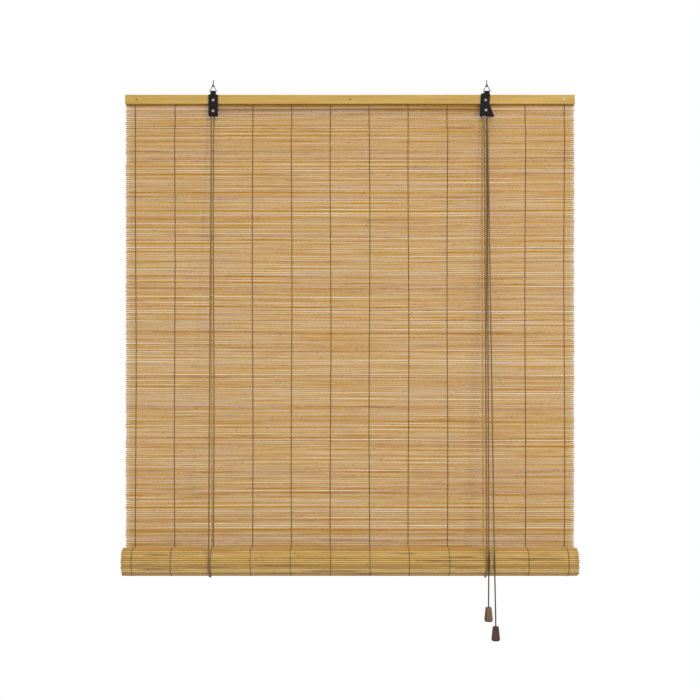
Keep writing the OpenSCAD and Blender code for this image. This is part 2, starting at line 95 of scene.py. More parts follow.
# %% Bars as a mesh
def bar_faces(bars, rings, sides):
    """Face corners of closed bars: side faces join ring j to ring j + 1, and each cap is a row
    of faces that joins corner k, k + 1 to the corners opposite them."""
    k = np.arange(sides)
    j = np.arange(rings - 1)[:, None] * sides
    side = np.stack([j + k, j + (k + 1) % sides, j + sides + (k + 1) % sides, j + sides + k], -1)
    c = np.arange(sides // 2 - 1)
    cap = np.stack([c, sides - 1 - c, sides - 2 - c, c + 1], -1)
    one = np.concatenate([side.reshape(-1, 4), cap, cap[:, ::-1] + (rings - 1) * sides])
    return (one + np.arange(bars)[:, None, None] * rings * sides).reshape(-1, 4)


def bar_mesh(name, points, uv=None, sharp=40, **values):
    """Makes one object from points[bar, ring, side, xyz]. uv[bar, ring, side, 2] goes to a UV
    map by corner, and each named value to a point attribute that a finish can read."""
    bars, rings, sides = points.shape[:3]
    faces = bar_faces(bars, rings, sides)
    mesh = bpy.data.meshes.new(name)
    mesh.from_pydata(points.reshape(-1, 3), [], faces)
    if uv is not None:
        layer = mesh.uv_layers.new(name="along")
        layer.data.foreach_set("uv", uv.reshape(-1, 2)[faces.ravel()].astype(np.float32).ravel())
    for key, value in values.items():
        spread = np.broadcast_to(value, points.shape[:3]).astype(np.float32).ravel()
        mesh.attributes.new(key, "FLOAT", "POINT").data.foreach_set("value", spread)
    work = bmesh.new()
    work.from_mesh(mesh)
    bmesh.ops.recalc_face_normals(work, faces=work.faces)
    work.to_mesh(mesh)
    work.free()
    mesh.shade_smooth()
    mesh.set_sharp_from_angle(angle=math.radians(sharp))
    piece = bpy.data.objects.new(name, mesh)
    bpy.context.collection.objects.link(piece)
    print(name, bars, "bars,", len(faces), "faces")
    return piece

# %% [markdown]
# ## Cords
# A lift cord is knotted behind the rail, hangs down behind the mat, passes under the roll, comes
# up in front and runs over a pulley in the leather hanger. Both pull cords leave the right hanger
# and end in a wooden tassel. A curve with a bevel would give a smooth hose, so each cord is a
# ring of points carried along its path, and its braid comes from the distance along the
# cord and the angle around it, kept in a UV map.

# %% Tubes along a path
def even(path, step):
    """Resamples a path at even distances of about one step."""
    path = np.asarray(path, float)
    run = np.concatenate([[0], np.cumsum(np.linalg.norm(np.diff(path, axis=0), axis=1))])
    at = np.linspace(0, run[-1], max(2, int(round(run[-1] / step)) + 1))
    return np.stack([np.interp(at, run, path[:, i]) for i in range(3)], -1), at


def tube(name, path, diameter, step=0.003, sides=12, across=(1, 0, 0), shape=None):
    """A round cord or wire: ring point = path point + r (u cos a + v sin a), where u is the
    direction across made square to the path, and v is square to both. shape(run, a) scales r."""
    line, run = even(path, step)
    along = np.gradient(line, axis=0)
    along /= np.linalg.norm(along, axis=1, keepdims=True)
    u = np.asarray(across, float) - (along @ np.asarray(across, float))[:, None] * along
    u /= np.linalg.norm(u, axis=1, keepdims=True)
    v = np.cross(along, u)
    angle = np.arange(sides) * 2 * math.pi / sides
    ring = u[:, None] * np.cos(angle)[:, None] + v[:, None] * np.sin(angle)[:, None]
    scale = 1 if shape is None else shape(run[:, None], angle[None])[..., None]
    points = line[:, None] + ring * scale * diameter / 2
    around = np.abs(np.arange(sides) / sides * 2 - 1)
    uv = np.stack(np.broadcast_arrays(run[:, None] / diameter, around), -1)
    piece = bar_mesh(name, points[None], uv[None], sharp=60)
    return piece, line, run[-1]


def line_between(a, b, count=24):
    """Points on a straight line from a to b, ends included."""
    a, b = np.asarray(a, float), np.asarray(b, float)
    return a + (b - a) * np.linspace(0, 1, count)[:, None]


def arc(centre, radius, start, stop, plane, count=24):
    """Points on a circle: centre + radius (first cos a + second sin a), from one angle in
    degrees to another."""
    a = np.radians(np.linspace(start, stop, count))[:, None]
    first, second = np.asarray(plane, float)
    return np.asarray(centre) + radius * (first * np.cos(a) + second * np.sin(a))

# %% [markdown]
# The routes repeat the points of the solids: where the cords stand across the blind, how far in
# front and behind they run at the roll, and the heights of pulleys, staples and tassels. For
# each pull cord, three numbers say where it passes the roll, where its tassel hangs and how deep.

# %% Routes of the cords
X_AXIS, Y_AXIS, Z_AXIS = np.eye(3)
PITCH, SLAT_W, SLAT_T = 0.00456, 0.0039, 0.0024
CORD, BEND, SLING = 0.003, 0.00375, 0.03455
TASSEL_H, KNOT_SHARE = 0.031, 0.28
PULLS = {"first": (0.302, 0.3015, 1.152), "second": (0.3145, 0.317, 1.194)}
FACING, SIDE_ON = [X_AXIS, Z_AXIS], [Y_AXIS, Z_AXIS]
joints = {joint["name"]: joint for joint in frame["joints"]}
ROLL_Y, ROLL_Z = joints["roll_turn"]["pos_m"][1:]
LEFT_WHEEL, REAR_WHEEL, FRONT_WHEEL = (
    np.array(joints[name + "_wheel_spin"]["pos_m"])
    for name in ("left", "right_rear", "right_front"))
LEFT_CORD, RIGHT_CORD = LEFT_WHEEL[0] - BEND, FRONT_WHEEL[0] - BEND
ANCHOR_STEP = 0.00325
LEFT_ANCHOR, RIGHT_ANCHOR = LEFT_CORD - ANCHOR_STEP, RIGHT_CORD - ANCHOR_STEP
FRONT_Y, BACK_Y = ROLL_Y - SLING, ROLL_Y + SLING
RUNNING = 0.0003
FOOT_Z = ROLL_Z + RUNNING
knot_low, knot_high = (np.array(corner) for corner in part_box("anchor_knots"))
KNOT = 0.0066
ANCHOR_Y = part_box("back_batten")[1][1] + RUNNING + CORD / 2
KNOT_Z = (knot_low[2] + knot_high[2]) / 2
BACK_TOP = KNOT_Z - 0.33 * KNOT
print("roll centre", round(ROLL_Y, 5), round(ROLL_Z, 5))

# %% [markdown]
# ## Finishes
# A finish is a small graph of shader nodes. Two short helpers keep each graph readable: one makes
# a material with its shader, and one adds a node and plugs numbers or other nodes into it.

# %% Helpers for node graphs
def new_finish(name, roughness=0.5, **sockets):
    """A material with a Principled shader whose plain numbers sit on its own sockets."""
    finish = bpy.data.materials.new(name)
    finish.use_nodes = True
    shader = finish.node_tree.nodes["Principled BSDF"]
    shader.inputs["Roughness"].default_value = roughness
    for socket, value in sockets.items():
        shader.inputs[socket.replace("_", " ")].default_value = value
    return finish, finish.node_tree, shader


def node(tree, kind, inputs=None, **settings):
    """Adds one node. Each input is a number, a colour or the output socket of another node."""
    made = tree.nodes.new("ShaderNode" + kind)
    for key, value in settings.items():
        setattr(made, key, value)
    for key, value in (inputs or {}).items():
        if isinstance(value, bpy.types.NodeSocket):
            tree.links.new(value, made.inputs[key])
        else:
            made.inputs[key].default_value = value
    return made


def maths(tree, operation, a, b=0.0, c=0.0):
    """One Math node, and its result."""
    return node(tree, "Math", {0: a, 1: b, 2: c}, operation=operation).outputs[0]


def ramp(tree, factor, stops):
    """A colour ramp from pairs of a place and a colour."""
    made = node(tree, "ValToRGB", {"Fac": factor})
    band = made.color_ramp.elements
    while len(band) < len(stops):
        band.new(0.5)
    for element, (place, colour) in zip(band, stops):
        element.position = place
        element.color = (*colour, 1)
    return made.outputs["Color"]


def mix(tree, factor, a, b, blend="MIX"):
    """Mixes two colours by a factor."""
    made = node(tree, "Mix", {0: factor, 6: a, 7: b}, data_type="RGBA", blend_type=blend)
    return made.outputs[2]


def bump(tree, shader, height, distance, strength=0.6):
    """Feeds a height into the shader's normal."""
    made = node(tree, "Bump", {"Height": height, "Distance": distance, "Strength": strength})
    tree.links.new(made.outputs["Normal"], shader.inputs["Normal"])


def rgba(r, g, b):
    """A colour with full cover."""
    return (r, g, b, 1)

# %% [markdown]
# ### Braided cord
# The cord is a tight braid of brown yarn. In its UV map, one unit along is one diameter, so two
# slanted stripes that cross give the braid's small diamonds, whatever the cord's route is. The
# tails below the roll have darkened where hands pull on them, so they get a darker pair of colours.

# %% Braided cord finish
def cord_finish(name, dark, light):
    """Braid height = the larger of two slanted waves that run opposite ways round the cord."""
    finish, tree, shader = new_finish(name, 0.85, Sheen_Weight=0.05)
    place = node(tree, "UVMap", uv_map="along").outputs["UV"]
    parts = node(tree, "SeparateXYZ", {0: place}).outputs
    run = maths(tree, "MULTIPLY", parts["X"], 2 * math.pi * 1.1)
    turn = maths(tree, "MULTIPLY", parts["Y"], 2 * math.pi * 2)
    right = maths(tree, "SINE", maths(tree, "ADD", run, turn))
    left = maths(tree, "SINE", maths(tree, "SUBTRACT", run, turn))
    weave = maths(tree, "MULTIPLY_ADD", maths(tree, "MAXIMUM", right, left), 0.5, 0.5)
    fibre = node(tree, "TexNoise", {"Scale": 900.0, "Detail": 3.0}).outputs["Fac"]
    braid_and_foot_shade = maths(tree, "MULTIPLY_ADD", fibre, 0.5, maths(tree, "MULTIPLY", weave, 0.6))
    tree.links.new(ramp(tree, braid_and_foot_shade, [(0.25, dark), (0.85, light)]), shader.inputs["Base Color"])
    bump(tree, shader, braid_and_foot_shade, 0.0004, 0.8)
    return finish


brown_cord = cord_finish("braided_brown_cord", (0.055, 0.029, 0.011), (0.29, 0.17, 0.07))
handled_cord = cord_finish("handled_cord", (0.015, 0.009, 0.005), (0.11, 0.066, 0.034))
print("finishes", brown_cord.name, handled_cord.name)

# %% [markdown]
# ### Laying the cords
# Each stretch of cord is a piece of its own. The first 14 mm under a pulley go with the cord that
# runs over the hanger, and the last 28 mm above the roll's foot, in front of the roll, go with the
# stretch that passes under the roll or down to a tassel; the legs hang between them.

# %% Dress, fasten and shorten
def dress(piece, finish):
    """Gives a piece its finish and the material slot that it stands for."""
    piece.data.materials.append(finish)
    return piece


def shorten(piece):
    """Gives a hanging piece a mesh of its own."""
    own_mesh(piece)


def at_height(top, foot, z):
    """The point at a height on the straight line from top to foot."""
    return top + (np.asarray(foot) - top) * (z - top[2]) / (foot[2] - top[2])


FRONTS = {
    "left_front_cord": (LEFT_WHEEL - BEND * X_AXIS, (LEFT_CORD, FRONT_Y, FOOT_Z)),
    "right_front_cord": (FRONT_WHEEL - BEND * X_AXIS, (RIGHT_CORD, FRONT_Y, FOOT_Z)),
    "first_pull_cord": (REAR_WHEEL + BEND * X_AXIS, (PULLS["first"][0], FRONT_Y, FOOT_Z)),
    "second_pull_cord": (FRONT_WHEEL + BEND * X_AXIS, (PULLS["second"][0], FRONT_Y, FOOT_Z)),
}
HEAD, FOOT = 0.014, 0.028
heads = {name: at_height(top, foot, top[2] - HEAD) for name, (top, foot) in FRONTS.items()}
feet = {name: at_height(top, foot, FOOT_Z + FOOT) for name, (top, foot) in FRONTS.items()}
print(len(FRONTS), "cords run down the front")

# %% [markdown]
# ### Over the pulleys and under the roll
# In a hanger the cord turns half round a small wheel, and under the roll it turns half round the
# mat. Both are arcs of a circle, so the path is worked out from the wheel's or the roll's middle,
# and the cord stays tight against it.

# %% Cords in the hangers and under the roll
OVER = {
    "cross_cord": ("left_front_cord", "first_pull_cord", 0.002, [
        arc(LEFT_WHEEL, BEND, 180, 90, FACING, 9), arc(REAR_WHEEL, BEND, 90, 0, FACING, 9)]),
    "right_cord_bend": ("right_front_cord", "second_pull_cord", 0.0012, [
        arc(FRONT_WHEEL, BEND, 180, 0, FACING)]),
}
for name, (start, end, step, bends) in OVER.items():
    path = np.concatenate([[heads[start]], *bends, [heads[end]]])
    piece = tube(name + "_braid", path, CORD, step, across=Y_AXIS)[0]
    dress(piece, brown_cord)
    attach(piece, "blind")
    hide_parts(name, start, end)

for side, x in (("left", LEFT_CORD), ("right", RIGHT_CORD)):
    under = arc((x, ROLL_Y, ROLL_Z), SLING, 180, 360, SIDE_ON, 40)
    path = np.concatenate([[feet[side + "_front_cord"]], under])
    piece = dress(tube(side + "_sling_braid", path, CORD, 0.002)[0], brown_cord)
    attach(piece, "slings")
    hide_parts(side + "_sling", side + "_front_cord")

# %% [markdown]
# ### Legs of the lift cords
# In front, the cord hangs from its pulley to the roll, and behind, from its staple to the roll.
# A weight of slats keeps these legs straight, so each is a straight tube.

# %% Front and back legs of the lift cords
LEGS = {
    "left_front_cord": (heads["left_front_cord"], feet["left_front_cord"]),
    "right_front_cord": (heads["right_front_cord"], feet["right_front_cord"]),
    "left_back_cord": ((LEFT_ANCHOR, ANCHOR_Y, BACK_TOP), (LEFT_CORD, BACK_Y, FOOT_Z)),
    "right_back_cord": ((RIGHT_ANCHOR, ANCHOR_Y, BACK_TOP), (RIGHT_CORD, BACK_Y, FOOT_Z)),
}
for name, (top, foot) in LEGS.items():
    piece = dress(tube(name + "_braid", line_between(top, foot), CORD)[0], brown_cord)
    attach(piece, "blind")
    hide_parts(name)
    shorten(piece)

# %% [markdown]
# ### Stopper knots
# A knot behind the rail and one inside each tassel keep the cords from slipping out. A ball would
# do from afar, but a cord that follows a three-leaved knot curve looks tied from close by.

# %% Stopper knots
def knot(name, centre, size):
    """A trefoil that faces front: x = sin t + 2 sin 2t, y = -1.3 sin 3t, z = cos t - 2 cos 2t,
    scaled to a size."""
    t = np.linspace(0, 2 * math.pi, 90)
    leaf = np.stack([np.sin(t) + 2 * np.sin(2 * t), -1.3 * np.sin(3 * t),
                     np.cos(t) - 2 * np.cos(2 * t)], -1)
    thick = CORD * 0.8
    path = np.asarray(centre) + leaf * (size - thick) / 2 / 3
    piece = tube(name, path, thick, 0.0004, 10, across=Y_AXIS)[0]
    return dress(piece, brown_cord)


for side, x in (("left", LEFT_ANCHOR), ("right", RIGHT_ANCHOR)):
    piece = knot(side + "_anchor_knot", (x, ANCHOR_Y + KNOT / 2 - CORD / 2, KNOT_Z), KNOT)
    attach(piece, "blind")
    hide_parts("anchor_knots")

# %% [markdown]
# ### Pull cords
# The two pull cords are free: they leave the right hanger, hang in front of the roll and end in a
# knot inside a tassel. The upper stretch of each stays with the rail and the tail runs down to its
# tassel, so each is made in two lengths that meet in front of the roll.

# %% Pull cords
for name, (over_x, end_x, depth) in PULLS.items():
    top, foot = heads[name + "_pull_cord"], feet[name + "_pull_cord"]
    piece, line, length = tube(name + "_pull_cord_braid", line_between(top, foot), CORD)
    dress(piece, brown_cord)
    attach(piece, "blind")
    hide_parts(name + "_pull_cord")
    shorten(piece)
    drop = [(end_x, FRONT_Y, -depth), (end_x, FRONT_Y, KNOT_SHARE * TASSEL_H - TASSEL_H - depth)]
    hang = line_between((over_x, FRONT_Y, ROLL_Z), (end_x, FRONT_Y, TASSEL_H / 2 - depth))
    path = np.concatenate([[foot], hang, drop])
    piece, line, length = tube(name + "_tail_cord_braid", path, CORD, 0.002)
    dress(piece, handled_cord)
    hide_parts(name + "_tail_cord", name + "_pull_cord")
    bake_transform(piece)
    end = knot(name + "_tassel_knot", drop[-1], KNOT)
    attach(end, name + "_pull")
    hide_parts(name + "_knot")
    print(name, "tail", round(length, 4), "m")

# %% [markdown]
# ## Bamboo
# Each slat is a strip split from a cane. No two have the same width, tint or length, their ends
# are ragged, and each has a cane joint every so often: a short darker band. One solid with a
# striped material would look printed on, so every slat is a bar of its own, with eight
# corners round it and gentle waves along it. Threads tie neighbours together, so the mat also
# sways as a whole: a slow wave moves whole groups of slats up or down by a millimetre.

# %% Slats as bars
SECTION = np.array([(-0.5, -0.1), (-0.26, -0.5), (0.26, -0.5), (0.5, -0.1),
                    (0.5, 0.1), (0.26, 0.5), (-0.26, 0.5), (-0.5, 0.1)])


def slats(name, centre, wide, out, widths, thick, wave, stations, mottle=1.0, sway=None):
    """Slat point = centre + x along the slat + (s w + wave + sway) wide + (t h) out, for each
    corner (s, t) of the section. centre, wide and out are [slat, 3]; the wave is a slow sine
    and a quicker one along each slat, each with its own phase, and sway(x, z) moves neighbours
    together. mottle scales how much the tints of the slats differ."""
    count = len(centre)
    spread = np.concatenate([[-1, -0.99], np.linspace(-0.975, 0.975, stations - 4), [0.99, 1]])
    ends = HALF_W + rng.uniform(-0.0014, 0.001, (count, 2))
    x = np.where(spread < 0, ends[:, :1], ends[:, 1:]) * spread
    phase, beats = rng.uniform(0, 2 * math.pi, (2, count, 1))
    slow = np.sin(phase + (0.6 + 0.5 * beats) * spread)
    quick = np.sin(5 * phase + (6 + 2 * beats) * spread)
    bow = wave * (slow + 0.6 * quick)
    taper = 10 * np.clip(np.abs(spread) - 0.98, 0, 1)
    swell = 1 + 0.035 * np.sin(2.3 * phase + (4 + 2 * beats) * spread) - taper
    if sway is not None:
        bow = bow + sway(x, centre[:, 2:])
    s = SECTION[:, 0] * (widths[:, None] * swell)[..., None] + bow[..., None]
    t = np.broadcast_to(SECTION[:, 1] * thick[:, None, None], s.shape)
    points = (centre[:, None, None] + s[..., None] * wide[:, None, None]
              + t[..., None] * out[:, None, None])
    points[..., 0] += x[..., None]
    offset = rng.uniform(0, 40, (count, 1, 1))
    around = np.arange(8) / 8 + 3 * np.arange(count)[:, None, None]
    uv = np.stack(np.broadcast_arrays(x[..., None] + offset, around), -1)
    tone = 0.5 + mottle * rng.uniform(-0.5, 0.5, (count, 1, 1))
    # The outer corners of each section are marked for painted shade: the finish darkens them for
    # the shade between two slats.
    return bar_mesh(name, points, uv, tone=tone, edge=np.abs(SECTION[:, 0]) > 0.45)

# %% [markdown]
# ### Bamboo finish
# The fibres of bamboo run along the slat, so the noises that colour it are stretched far that
# way: a coarse one for streaks, a fine one for single fibres and a broad one for stains. A cane
# joint shows where the distance along the slat passes a multiple of most of a metre. The
# split edges of a slat are painted browner than its face: painted shade that draws the dark
# line between two slats.

# %% Bamboo finish
def bamboo_finish(name, tints, joint, roughness, stain_and_foot_shade):
    """Colour = a tint for the slat, streaked by long fibres, darker in stains and in a narrow band
    at each joint, and painted browner at its split edges as the shade between two slats."""
    finish, tree, shader = new_finish(name, roughness, Specular_IOR_Level=0.35)
    place = node(tree, "UVMap", uv_map="along").outputs["UV"]
    parts = node(tree, "SeparateXYZ", {0: place}).outputs
    tone = node(tree, "Attribute", attribute_name="tone").outputs["Fac"]

    def streaks(scale, detail, rough=0.5):
        """Flat noise on the slat's own map, stretched by the two scales."""
        long = node(tree, "Mapping", {"Vector": place, "Scale": (*scale, 1)}).outputs[0]
        grain = {"Vector": long, "Scale": 1.0, "Detail": detail, "Roughness": rough}
        return node(tree, "TexNoise", grain, noise_dimensions="2D").outputs["Fac"]

    fibre = streaks((22, 6), 5.0, 0.65)
    hair = streaks((35, 48), 3.0)
    patch = streaks((3.5, 1), 2.0)
    blend = maths(tree, "MULTIPLY_ADD", tone, 0.85, maths(tree, "MULTIPLY_ADD", fibre, 1.0, -0.5))
    blend = maths(tree, "MULTIPLY_ADD", patch, 0.5, maths(tree, "ADD", blend, -0.2))
    blend = maths(tree, "MULTIPLY_ADD", hair, 0.7, maths(tree, "ADD", blend, -0.35))
    colour = ramp(tree, blend, tints)
    near = maths(tree, "PINGPONG", parts["X"], 0.41)
    band = node(tree, "MapRange", {"Value": near, 1: 0.0008, 2: 0.0035, 3: 0.35, 4: 0.0}).outputs[0]
    colour = mix(tree, band, colour, rgba(*joint))
    streak = node(tree, "MapRange", {"Value": patch, 1: 0.66, 2: 0.74, 3: 0.0, 4: stain_and_foot_shade}).outputs[0]
    colour = mix(tree, streak, colour, rgba(*joint))
    # Painted shade: the split edges take the dark joint colour, for the shade between two slats.
    edge = node(tree, "Attribute", attribute_name="edge").outputs["Fac"]
    painted_groove_shade = maths(tree, "MULTIPLY", edge, 0.6)
    colour = mix(tree, painted_groove_shade, colour, rgba(*joint))
    tree.links.new(colour, shader.inputs["Base Color"])
    bump(tree, shader, maths(tree, "ADD", fibre, hair), 0.0003, 0.6)
    return finish


mat_bamboo = bamboo_finish("mat_bamboo", [
    (0.08, (0.43, 0.19, 0.038)), (0.32, (0.6, 0.305, 0.05)), (0.55, (0.63, 0.36, 0.064)),
    (0.78, (0.67, 0.395, 0.12)), (0.95, (0.8, 0.56, 0.21))], (0.16, 0.066, 0.022), 0.6, 0.25)
roll_bamboo = bamboo_finish("roll_bamboo", [
    (0.1, (0.52, 0.28, 0.072)), (0.4, (0.63, 0.38, 0.1)),
    (0.65, (0.69, 0.45, 0.13)), (0.9, (0.82, 0.6, 0.25))], (0.14, 0.06, 0.016), 0.5, 0.55)
print("finishes", mat_bamboo.name, roll_bamboo.name)

# %% [markdown]
# ### Hanging slats
# The mat hangs flat from the rail to the back of the roll. Its slats could be copies of one bar,
# but then every gap would be the same; here each is placed one pitch above the last and moved by a
# hair. The slats that go up with the roll are one piece and the few that stay at the rail are
# another.

# %% Hanging slats
mat_low, mat_high = (np.array(corner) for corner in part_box("hanging_mat"))
MAT_Y = (mat_low[1] + mat_high[1]) / 2
HALF_W = 0.5
FIRST_Z = ROLL_Z + PITCH - SLAT_W / 2
HUNG = round((mat_high[2] - FIRST_Z - SLAT_W / 2) / PITCH) + 1
RAIL_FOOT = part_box("head_rail")[0][2]
STAY = 12
FREE = round((RAIL_FOOT - ROLL_Z) / PITCH) - STAY
print(HUNG, "slats hang,", FREE, "of them roll up")


def sway(x, z):
    """Two slow waves across the mat, up to about 1.5 mm, that die away at the rail and the roll."""
    share = np.clip((z - ROLL_Z) / (RAIL_FOOT - ROLL_Z), 0, 1)
    waves = np.sin(4.6 * x + 5 * z) + 0.6 * np.sin(8.5 * x - 9 * z + 1)
    return 0.001 * np.sin(math.pi * share) ** 0.5 * waves


def hanging_slats(name, first, last):
    """A run of hanging slats, one pitch apart, each moved up or down a little."""
    count = last - first
    centre = np.zeros((count, 3))
    centre[:, 1] = MAT_Y
    centre[:, 2] = FIRST_Z + PITCH * np.arange(first, last) + rng.normal(0, 0.0001, count)
    wide = np.tile(Z_AXIS, (count, 1))
    out = np.tile(-Y_AXIS, (count, 1))
    widths = np.clip(rng.normal(0.00402, 0.00014, count), 0.0036, 0.0043)
    thick = SLAT_T * rng.uniform(0.85, 1, count)
    piece = slats(name, centre, wide, out, widths, thick, 0.00013, 49, 0.5, sway)
    dress(piece, mat_bamboo)
    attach(piece, "blind")
    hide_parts("hanging_mat")
    return piece


hanging_slats("upper_slats", FREE, HUNG)
lower = hanging_slats("lower_slats", 0, FREE)
shorten(lower)

# %% [markdown]
# ### The roll
# The lower part of the mat is wound round its bottom bar. Slat after slat, the spiral turns on by
# one pitch over the radius it has reached, and over the second half of each turn it steps
# in by the thickness of a turn.

# %% Spiral of the roll
OUTER = MAT_Y - ROLL_Y
TURN, TURNS = 0.0052, 3.6


def roll_radius(turns):
    """The radius stays level for half a turn, then falls by one turn's pitch on half a cosine
    wave."""
    part = turns % 1
    step = np.where(part < 0.5, 0, (1 - np.cos(2 * math.pi * (part - 0.5))) / 2)
    return OUTER - TURN * (np.floor(turns) + step)


def spiral(turns, out=0.0):
    """Points of the spiral, out of its middle line by a distance: behind the roll's centre at
    the start of each turn, then down and round to the front."""
    angle = 2 * math.pi * turns
    radius = roll_radius(turns) + out
    y, z = ROLL_Y + radius * np.cos(angle), ROLL_Z - radius * np.sin(angle)
    return np.stack([0 * turns, y, z], -1)


marks = [0.0]
while marks[-1] < TURNS:
    marks.append(marks[-1] + PITCH / (2 * math.pi * float(roll_radius(np.float64(marks[-1])))))
marks = np.array(marks[:-1])
middles = marks[:-1] + np.diff(marks) * SLAT_W / 2 / PITCH
print(len(middles), "slats in the roll")

# %% Slats of the roll
heading = spiral(middles + 1e-4) - spiral(middles - 1e-4)
heading /= np.linalg.norm(heading, axis=1, keepdims=True)
outward = np.cross(heading, X_AXIS)
outward *= np.sign(np.sum(outward * (spiral(middles) - [0, ROLL_Y, ROLL_Z]), axis=1))[:, None]
piece = slats("rolled_slats", spiral(middles), heading, outward,
              np.clip(rng.normal(0.0041, 0.00015, len(middles)), 0.0036, 0.0044),
              SLAT_T * rng.uniform(0.88, 1, len(middles)), 0.0001, 25)
dress(piece, roll_bamboo)
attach(piece, "roll")
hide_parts("mat_roll")

# %% [markdown]
# ## Warp threads
# Two threads twine round each other and hold every slat between them: one passes in front of a
# slat while the other passes behind, and they change places in each gap. A line drawn down
# the mat would miss that, so each thread is a thin tube with three rings to a slat.

# %% Twined threads
THREAD = 0.0014
WARPS = np.linspace(-0.478, 0.478, 12)


def twined(name, place, low, high):
    """Two strands at every warp. place(slat number, distance out, x) gives points of the mat; a
    strand stands out by half a slat's thickness, on one side and then the other."""
    slat = np.arange(low, high)
    along = np.stack([slat + 0.5 - 0.27, slat + 0.5 + 0.27, slat + 1.0], -1).ravel()
    side = np.stack([np.where(slat % 2, -1, 1)] * 2 + [np.zeros(len(slat))], -1).ravel()
    cross = np.stack([np.zeros(len(slat))] * 2 + [np.where(slat % 2, -1, 1)], -1).ravel()
    strand = np.array([1, -1])[None, :, None]
    drift = rng.uniform(0, 2 * math.pi, (len(WARPS), 1, 1))
    x = (WARPS[:, None, None] + 0.0009 * np.sin(along * 0.035 + drift)
         + rng.normal(0, 0.00022, (len(WARPS), 1, len(along))) + strand * cross * THREAD * 0.45)
    out = np.broadcast_to(strand * side * (SLAT_T / 2 + THREAD * 0.1), x.shape)
    line = place(np.broadcast_to(along, x.shape), out, x).reshape(-1, len(along), 3)
    run = np.gradient(line, axis=1)
    run /= np.linalg.norm(run, axis=2, keepdims=True)
    u = X_AXIS - run[..., :1] * run
    u /= np.linalg.norm(u, axis=2, keepdims=True)
    v = np.cross(run, u)
    angle = np.arange(4) * math.pi / 2 + math.pi / 4
    ring = u[:, :, None] * np.cos(angle)[:, None] + 0.6 * v[:, :, None] * np.sin(angle)[:, None]
    return bar_mesh(name, line[:, :, None] + ring * THREAD * 0.6, sharp=100)


def on_mat(along, out, x):
    """A place on the hanging mat: counted in slats from its foot, and out towards the front."""
    z = FIRST_Z + (along - 0.5) * PITCH
    return np.stack([x, MAT_Y - out, z + sway(x, z)], -1)


def on_roll(along, out, x):
    """A place on the roll's outer turn, counted in slats along the spiral."""
    points = spiral(np.interp(along, np.arange(len(middles)) + 0.5, middles), out)
    points[..., 0] = x
    return points

# %% [markdown]
# ### Thread finish
# The thread is thin brown yarn. From a step away its twist is only a change of tone, so a fine
# noise gives the colour and the bumps, and no map is needed.

# %% Thread finish
thread, tree, shader = new_finish("brown_thread", 0.9, Sheen_Weight=0.2)
twist = node(tree, "TexNoise", {"Scale": 1400.0, "Detail": 2.0}).outputs["Fac"]
tone = ramp(tree, twist, [(0.3, (0.06, 0.028, 0.01)), (0.7, (0.17, 0.09, 0.035))])
tree.links.new(tone, shader.inputs["Base Color"])
bump(tree, shader, twist, 0.0002, 0.5)
print("finish", thread.name)

# %% Threads on the mat and the roll
upper = dress(twined("upper_threads", on_mat, FREE, FREE + STAY), thread)
lower = dress(twined("lower_threads", on_mat, 1, FREE), thread)
for piece in (upper, lower):
    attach(piece, "blind")
    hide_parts("warp_threads")
shorten(lower)
first_turn = int(np.sum(marks < 1)) - 2
piece = dress(twined("wound_threads", on_roll, 0, first_turn), thread)
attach(piece, "roll")
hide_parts("roll_threads")

# %% [markdown]
# ## Wood, leather and metal
# The battens, hangers, rivets, nails, pulleys and tassels keep their solids, which have no UV map
# of their own. Wood has a direction, so its finish reads Object coordinates. Leather, metal and
# plastic have none, and their fine noise is left on the coordinates that a texture takes by
# itself, from 0 to 1 over the piece's box. The rail's foot is darkened as painted shade along its
# bottom, each tassel is darker at its foot, and one of the three nails is newer and brighter.

# %% Planed wood
def wood_finish(name, dark, light, stretch, roughness, foot, stain_and_foot_shade):
    """Grain = noise stretched along the piece. From its foot up, a darkening fades out over 3 mm:
    painted shade along the bottom of the rail, and a darker foot on a tassel.
    """
    finish, tree, shader = new_finish(name, roughness, Specular_IOR_Level=0.4)
    place = node(tree, "TexCoord").outputs["Object"]
    long = node(tree, "Mapping", {"Vector": place, "Scale": stretch}).outputs[0]
    grain = node(tree, "TexNoise", {"Vector": long, "Scale": 1.0, "Detail": 6.0,
                                    "Roughness": 0.6}).outputs["Fac"]
    colour = ramp(tree, grain, [(0.3, dark), (0.7, light)])
    height = node(tree, "SeparateXYZ", {0: place}).outputs["Z"]
    # Painted shade on the rail: its lowest 3 mm are darkened as the shade along its bottom; a
    # tassel's foot is darkened the same way.
    braid_and_foot_shade = node(tree, "MapRange", {"Value": height, 1: foot + 0.001, 2: foot + 0.003,
                                   3: stain_and_foot_shade, 4: 0.0}).outputs[0]
    colour = mix(tree, braid_and_foot_shade, colour, rgba(*(0.4 * c for c in dark)))
    tree.links.new(colour, shader.inputs["Base Color"])
    bump(tree, shader, grain, 0.0004, 0.35)
    return finish


first_foot, second_foot = (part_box(name + "_tassel")[0][2] for name in ("first", "second"))
# The rail's darkened foot is painted shade along its bottom.
rail_wood = wood_finish("planed_rail_wood", (0.46, 0.28, 0.055), (0.66, 0.42, 0.105),
                        (8, 320, 320), 0.5, RAIL_FOOT, 0.2)
first_wood = wood_finish("stained_tassel_wood", (0.02, 0.009, 0.005), (0.3, 0.17, 0.085),
                         (150, 150, 22), 0.4, first_foot, 0.9)
second_wood = wood_finish("dark_tassel_wood", (0.009, 0.004, 0.002), (0.115, 0.042, 0.014),
                          (150, 150, 22), 0.4, second_foot, 0.9)
print("finishes", rail_wood.name, first_wood.name, second_wood.name)

# %% [markdown]
# ### Leather
# The hangers are strips of black leather, hardly shiny. Cells with sharp borders stand for the
# pores, and a wider noise for creases that have rubbed a little paler.

